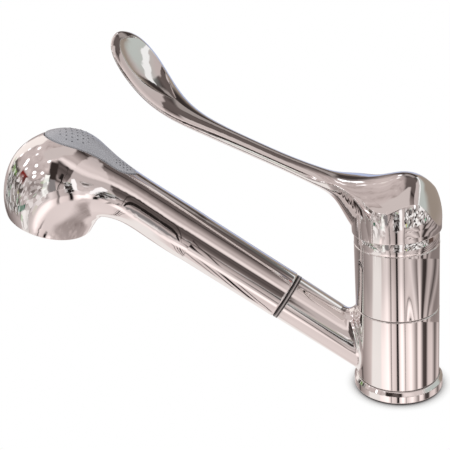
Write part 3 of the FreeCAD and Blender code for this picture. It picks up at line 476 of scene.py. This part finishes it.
# Long shelves that the grip and the stub mirror: angle about the spout's axis and level.
STRIPS = [
    (-180, 210), (-150, 195), (-120, 150), (-90, 150), (-80, 80), (-60, 55), (-46, 65),
    (-34, 100), (-6, 95), (-3, 45), (0, 95), (12, 140), (24, 190), (34, 185), (42, 245),
    (48, 225), (53, 70), (60, 95), (66, 80), (78, 110), (86, 165), (90, 80), (93, 165), (105, 200),
    (118, 150), (121, 205), (165, 220)]
STRIPS_EDGE = (0.62, 0.44)
# Only the grip mirrors directions that reach less far along the spout than this.
GRIP_LIMIT = (0.27, 0.17)
# The stub's end mirrors a paler stretch of the shelves.
STUB_END = (-0.04, -0.08)
STUB_END_LEVEL = 228
STUB_END_SHARE = 0.6
# Dark lines that cross the shelves: angle where each starts, half width, level.
LEANING = [(159, 6, 40), (134, 2, 60), (184, 2.5, 60), (206, 2, 110)]
LEAN_SLOPE = 1000.0
LEAN_REACH = 80.0
LEAN_BEND = 1.2
LEAN_EDGE = 2.0

# Soft-edged patches: bearing, elevation, half width, half height, soft edge, tilt, colour.
CEILING_LIGHT = (20, 77, 42, 11, 3, 0, (200, 188, 185))
SURROUNDINGS = [
    (-120, -50, 62, 6, 4, 0, (235, 228, 225)),
    (108, 16, 26, 11, 16, 0, (185, 190, 186)),
    (165, 41, 10, 5, 6, 0, (155, 146, 143)),
    (-25, 24, 5, 15, 4, 0, (55, 48, 46)),
    (153, 1, 24, 9, 14, 0, (150, 138, 128)),
    (110, 34, 34, 1.6, 1.2, 0, (240, 240, 240)),
    (-130, 22, 11, 22, 5, 0, (245, 235, 230)),
    (-101, 1, 13, 14, 4, 0, (85, 80, 75)),
    (-78, -5, 12, 9, 4, 0, (130, 120, 115)),
    (-101, 11, 9, 1.6, 1, 0, (135, 175, 95)),
    (-71, 11, 7, 4, 2, -22, (120, 45, 40)),
    (-60, -14, 7, 1.2, 1, -8, (45, 115, 90)),
    (-34, -2, 2.5, 17, 1.5, 0, (255, 255, 250)),
    (-25, -3, 4, 9, 2.5, 0, (130, 125, 125)),
    (1, -8, 6, 11, 1.5, 0, (35, 30, 30)),
    (10, -4, 2.5, 14, 1.5, 0, (255, 250, 250)),
    (97, -6, 13, 8, 3, 0, (90, 75, 70)),
    (180, 0, 12, 7, 3, 0, (175, 185, 215)),
]

# Small goods on display, in cells of mixed tones: bearing, elevation, half width, half height,
# soft edge, share.
CLUTTER = [
    (55, -6, 34, 9, 4, 0.9), (-92, -2, 28, 12, 5, 0.6), (0, -8, 7, 12, 2, 0.5),
    (-45, -8, 14, 14, 5, 0.4)]
GOODS_SCALE = 18.0
GOODS_TONES = [
    (0.05, (0.012, 0.010, 0.010)), (0.30, (0.06, 0.05, 0.047)), (0.36, (0.35, 0.31, 0.29)),
    (0.62, (0.50, 0.46, 0.45)), (0.80, (1.0, 0.98, 0.97))]
COLOURED_FEW = (0.93, 0.94)
COLOURED_SATURATION = 0.55
COLOURED_VALUE = 0.6


def light_of(colour):
    """Turn a colour written from 0 to 255 into the amount of light that shows it."""
    return tuple((part / 255.0) ** EYE_GAMMA for part in colour)


def warm(level):
    """Return the room's warm grey at a level from 0 to 255, browner where it is dark."""
    pale = level / 255.0
    return light_of((level, (GREEN_SHARE[0] + GREEN_SHARE[1] * pale) * level,
                     (BLUE_SHARE[0] + BLUE_SHARE[1] * pale) * level))


def maths(tree, operation, *operands):
    """Add one maths node; each operand is an output or a number."""
    node = add(tree, "ShaderNodeMath", operation=operation)
    for socket, item in zip(node.inputs, operands):
        feed(tree, socket, item)
    return node.outputs[0]


def parts_of(tree, vector):
    """Return the X, Y and Z outputs of a vector."""
    node = add(tree, "ShaderNodeSeparateXYZ")
    tree.links.new(vector, node.inputs["Vector"])
    return node.outputs


def angle_ramp(tree, angle, stops):
    """Colour an angle in radians by greys given at angles in degrees."""
    turned = maths(tree, "MULTIPLY_ADD", angle, 0.5 / math.pi, 0.5)
    return ramp(tree, turned, [(stop / 360.0 + 0.5, warm(level)) for stop, level in stops])


def blend_colours(tree, factor, first, second, mode="MIX"):
    """Mix two colours, each an output or a plain colour, by a factor."""
    node = add(tree, "ShaderNodeMix", data_type="RGBA", blend_type=mode)
    for name, kind, item in (("Factor", "VALUE", factor), ("A", "RGBA", first), ("B", "RGBA", second)):
        socket = [entry for entry in node.inputs if entry.name == name and entry.type == kind][0]
        feed(tree, socket, item)
    return [entry for entry in node.outputs if entry.type == "RGBA"][0]


def brighter(tree, colour, share, gain):
    """Multiply a colour by a gain where share is 1."""
    return blend_colours(tree, share, colour, (gain, gain, gain), "MULTIPLY")


def seen_patch(tree, direction, bearing, elevation, half_width, half_height, soft, tilt=0.0):
    """Return 1 inside a soft-edged patch of the room and 0 outside, all angles in degrees."""
    turn = add(tree, "ShaderNodeMapping", vector_type="TEXTURE")
    turn.inputs["Rotation"].default_value = (
        math.radians(tilt), -math.radians(elevation), math.radians(bearing + TOWARDS_CAMERA))
    tree.links.new(direction, turn.inputs["Vector"])
    parts = parts_of(tree, turn.outputs["Vector"])
    sideways = maths(tree, "ABSOLUTE", maths(tree, "ARCTAN2", parts["Y"], parts["X"]))
    upwards = maths(tree, "ABSOLUTE", maths(tree, "ARCSINE", parts["Z"]))
    return maths(tree, "MULTIPLY",
                 smooth_step(tree, sideways, math.radians(half_width + soft), math.radians(half_width)),
                 smooth_step(tree, upwards, math.radians(half_height + soft), math.radians(half_height)))


def bent(tree, direction):
    """Bend a direction slowly to and fro, so that no edge of the room is quite straight."""
    shift = add(tree, "ShaderNodeVectorMath", operation="MULTIPLY_ADD")
    shift.inputs[1].default_value = WANDER_REACH
    tree.links.new(noise_at(tree, direction, *WANDER_NOISE)["Color"], shift.inputs[0])
    tree.links.new(direction, shift.inputs[2])
    centred = add(tree, "ShaderNodeVectorMath", operation="SUBTRACT")
    centred.inputs[1].default_value = [0.5 * reach for reach in WANDER_REACH]
    tree.links.new(shift.outputs[0], centred.inputs[0])
    unit = add(tree, "ShaderNodeVectorMath", operation="NORMALIZE")
    tree.links.new(centred.outputs[0], unit.inputs[0])
    return unit.outputs[0]


def cells(tree, direction, scale, disorder=1.0):
    """Return the distance and the colour of scattered cells."""
    node = add(tree, "ShaderNodeTexVoronoi", feature="F1")
    node.inputs["Scale"].default_value = scale
    node.inputs["Randomness"].default_value = disorder
    tree.links.new(direction, node.inputs["Vector"])
    return node.outputs["Distance"], node.outputs["Color"]


def channels(tree, colour):
    """Return the red, green and blue outputs of a colour."""
    node = add(tree, "ShaderNodeSeparateColor")
    tree.links.new(colour, node.inputs["Color"])
    return node.outputs


def ceiling(tree, seen, height):
    """Return the room from floor to ceiling without its furniture, with lamps on the ceiling."""
    elevation = maths(tree, "ARCSINE", height)
    colour = angle_ramp(tree, maths(tree, "MULTIPLY", elevation, 2.0),
                        [(2 * stop, level) for stop, level in GRADIENT])
    clouds = ramp(tree, noise_at(tree, seen, *CLOUD_NOISE)["Fac"], CLOUD_TONES)
    colour = blend_colours(tree, 1.0, colour, clouds, "MULTIPLY")
    distance, mix = cells(tree, seen, LAMP_SCALE, LAMP_DISORDER)
    reach = maths(tree, "MULTIPLY_ADD", channels(tree, mix)["Red"], LAMP_SPREAD, LAMP_LEAST)
    outside = smooth_step(tree, maths(tree, "DIVIDE", distance, reach), *LAMP_EDGE)
    lamps = maths(tree, "SUBTRACT", 1.0, outside)
    lamps = maths(tree, "MULTIPLY", lamps, smooth_step(tree, height, *LAMP_LOWEST))
    lamps = maths(tree, "MULTIPLY", lamps, smooth_step(tree, height, *LAMP_HIGHEST))
    return blend_colours(tree, lamps, colour, LAMP_LIGHT)


def shelves(tree, seen, sideways, on_grip, straight):
    """Return the shelves' colour and where they are seen; straight is the unbent reach along the spout."""
    along = dot(tree, seen, GRIP_AXIS)
    around = maths(tree, "ARCTAN2", sideways, dot(tree, seen, GRIP_NORMAL))
    strips = angle_ramp(tree, around, STRIPS)
    for start, half_width, level in LEANING:
        lean = maths(tree, "MULTIPLY_ADD", straight, math.radians(-LEAN_SLOPE), math.radians(start))
        lean = maths(tree, "SMOOTH_MAX", lean, math.radians(start - LEAN_REACH), LEAN_BEND)
        apart = maths(tree, "ABSOLUTE", maths(tree, "SUBTRACT", around, lean))
        line = smooth_step(tree, apart, math.radians(half_width + LEAN_EDGE), math.radians(half_width))
        line = maths(tree, "MULTIPLY", line, on_grip)
        strips = blend_colours(tree, line, strips, warm(level))
    stub_end = maths(tree, "MULTIPLY", smooth_step(tree, along, *STUB_END), STUB_END_SHARE)
    strips = blend_colours(tree, stub_end, strips, warm(STUB_END_LEVEL))
    return strips, smooth_step(tree, maths(tree, "ABSOLUTE", along), *STRIPS_EDGE)


def stands(tree, direction, parts):
    """Return the stands' colour and where they are seen; the swirls follow the unbent direction."""
    height = parts["Z"]
    compass = maths(tree, "ARCTAN2", parts["Y"], parts["X"])
    past = maths(tree, "SUBTRACT", compass, math.radians(TOWARDS_CAMERA))
    bearing = maths(tree, "WRAP", past, math.pi, -math.pi)
    true_height = parts_of(tree, direction)["Z"]
    fall = maths(tree, "FRACT", maths(tree, "MULTIPLY_ADD", true_height, -1.0 / SWIRL_PITCH,
                                      SWIRL_START / SWIRL_PITCH))
    squeeze = maths(tree, "MULTIPLY", maths(tree, "POWER", fall, SWIRL_CURVE), SWIRL_STRENGTH)
    squeeze = maths(tree, "MULTIPLY", squeeze, smooth_step(tree, true_height, *SWIRL_FOOT))
    squeeze = maths(tree, "MULTIPLY", squeeze, smooth_step(tree, bearing, *SWIRL_SIDE))
    bearing = maths(tree, "MULTIPLY_ADD", maths(tree, "SUBTRACT", bearing, SWIRL_CENTRE), squeeze, bearing)
    pillars = angle_ramp(tree, bearing, PILLARS)
    pillars = brighter(tree, pillars, smooth_step(tree, height, *BRIGHT_FOOT), BRIGHT_FOOT_GAIN)
    pillars = brighter(tree, pillars, smooth_step(tree, height, *DIM_TOP), DIM_TOP_GAIN)
    return pillars, maths(tree, "MULTIPLY", smooth_step(tree, height, *STANDS_TOP),
                          smooth_step(tree, height, *STANDS_FOOT))


def goods(tree, seen):
    """Return the colour of small goods on display, most of them grey and a few coloured."""
    mix = cells(tree, seen, GOODS_SCALE)[1]
    parts = channels(tree, mix)
    grey = ramp(tree, parts["Red"], GOODS_TONES)
    coloured = add(tree, "ShaderNodeHueSaturation")
    coloured.inputs["Saturation"].default_value = COLOURED_SATURATION
    coloured.inputs["Value"].default_value = COLOURED_VALUE
    tree.links.new(mix, coloured.inputs["Color"])
    few = smooth_step(tree, parts["Green"], *COLOURED_FEW)
    return blend_colours(tree, few, grey, coloured.outputs["Color"])


def showroom(tree, direction):
    """Return the colour that polished metal sees in a direction: pale ceiling, lamps, stands, shelves."""
    seen = bent(tree, direction)
    parts = parts_of(tree, seen)
    colour = ceiling(tree, seen, parts["Z"])
    straight = dot(tree, direction, GRIP_AXIS)
    on_grip = smooth_step(tree, straight, *GRIP_LIMIT)
    strips, beside = shelves(tree, seen, parts["Y"], on_grip, straight)
    colour = blend_colours(tree, beside, colour, strips)
    *patch, tone = CEILING_LIGHT
    overhead = maths(tree, "MULTIPLY", seen_patch(tree, seen, *patch),
                     maths(tree, "SUBTRACT", 1.0, on_grip))
    colour = blend_colours(tree, overhead, colour, light_of(tone))
    pillars, low = stands(tree, direction, parts)
    colour = blend_colours(tree, low, colour, pillars)
    for *patch, tone in SURROUNDINGS:
        colour = blend_colours(tree, seen_patch(tree, seen, *patch), colour, light_of(tone))
    display = goods(tree, seen)
    for *patch, share in CLUTTER:
        inside = maths(tree, "MULTIPLY", seen_patch(tree, seen, *patch), share)
        colour = blend_colours(tree, inside, colour, display)
    return colour


# Strength of the plain light on matt surfaces, and of the room in polished ones.
PLAIN_LIGHT = 0.62
SHOWROOM_LIGHT = 1.12
WHITE = (1.0, 1.0, 1.0)


def background(tree, colour, strength=1.0):
    """Return the output of one background, its colour an output or a plain colour."""
    node = add(tree, "ShaderNodeBackground")
    node.inputs["Strength"].default_value = strength
    feed(tree, node.inputs["Color"], colour)
    return node.outputs[0]


def mix_shaders(tree, factor, first, second):
    """Return the first shader where the factor is 0 and the second where it is 1."""
    node = add(tree, "ShaderNodeMixShader")
    for socket, item in zip(node.inputs, (factor, first, second)):
        tree.links.new(item, socket)
    return node.outputs[0]


def make_world():
    """White studio: plain white to the camera and soft light, with a showroom for the chrome."""
    world = bpy.data.worlds.new("studio")
    bpy.context.scene.world = world
    world.use_nodes = True
    tree = world.node_tree
    tree.nodes.clear()
    place = add(tree, "ShaderNodeTexCoord")
    path = add(tree, "ShaderNodeLightPath")
    plain = background(tree, WHITE, PLAIN_LIGHT)
    mirrored = background(tree, showroom(tree, place.outputs["Generated"]), SHOWROOM_LIGHT)
    lit = mix_shaders(tree, path.outputs["Is Glossy Ray"], plain, mirrored)
    shown = mix_shaders(tree, path.outputs["Is Camera Ray"], lit, background(tree, WHITE))
    output = add(tree, "ShaderNodeOutputWorld")
    tree.links.new(shown, output.inputs["Surface"])


# The white floor, just below the base ring, and its contact shadow by how open a point is.
FLOOR_HALF = 2.0
FLOOR_HEIGHT = -0.0003
SHADOW_REACH = 0.008
SHADOW_SAMPLES = 12
SHADOW_TONES = [
    (0.30, (0.16, 0.15, 0.15)), (0.52, (0.40, 0.39, 0.39)), (0.72, (0.80, 0.795, 0.79)),
    (0.92, (1.0, 1.0, 1.0))]


def make_floor():
    """White floor that darkens softly where the base ring meets it, clear from below."""
    corners = [(-FLOOR_HALF, -FLOOR_HALF), (FLOOR_HALF, -FLOOR_HALF), (FLOOR_HALF, FLOOR_HALF),
               (-FLOOR_HALF, FLOOR_HALF)]
    mesh = bpy.data.meshes.new("floor")
    mesh.from_pydata([(x, y, FLOOR_HEIGHT) for x, y in corners], [], [(0, 1, 2, 3)])
    floor = bpy.data.objects.new("floor", mesh)
    bpy.context.scene.collection.objects.link(floor)
    material, tree, shader = new_material("floor")
    tree.nodes.remove(shader)
    closeness = add(tree, "ShaderNodeAmbientOcclusion")
    closeness.samples = SHADOW_SAMPLES
    closeness.inputs["Distance"].default_value = SHADOW_REACH
    glow = add(tree, "ShaderNodeEmission")
    tree.links.new(ramp(tree, closeness.outputs["AO"], SHADOW_TONES), glow.inputs["Color"])
    clear = add(tree, "ShaderNodeBsdfTransparent")
    side = add(tree, "ShaderNodeNewGeometry")
    shown = mix_shaders(tree, side.outputs["Backfacing"], glow.outputs[0], clear.outputs[0])
    tree.links.new(shown, tree.nodes["Material Output"].inputs["Surface"])
    mesh.materials.append(material)
    floor.visible_glossy = False


# Large soft lamps: name, place in metres and power in watts.
LAMPS = (
    ("key", (-0.5, 1.0, 1.5), 14.0),
    ("fill", (1.3, 0.8, 0.9), 7.0),
    ("back", (0.2, -1.2, 1.2), 7.0),
)
LAMP_AIM = (0.1, 0.0, 0.1)
LAMP_SIZE = 1.2


def make_lamps():
    """Plain, even studio light from above, left and right, which the chrome doesn't mirror."""
    for name, place, power in LAMPS:
        data = bpy.data.lights.new(name, "AREA")
        data.shape = "DISK"
        data.size = LAMP_SIZE
        data.energy = power
        lamp = bpy.data.objects.new(name, data)
        lamp.location = place
        lamp.rotation_euler = (Vector(LAMP_AIM) - Vector(place)).to_track_quat("-Z", "Y").to_euler()
        lamp.visible_glossy = False
        bpy.context.scene.collection.objects.link(lamp)


finish_nodes()
make_grip_dots()
make_hose()
make_camera()
make_world()
make_floor()
make_lamps()
bpy.context.scene.view_settings.view_transform = "Standard"
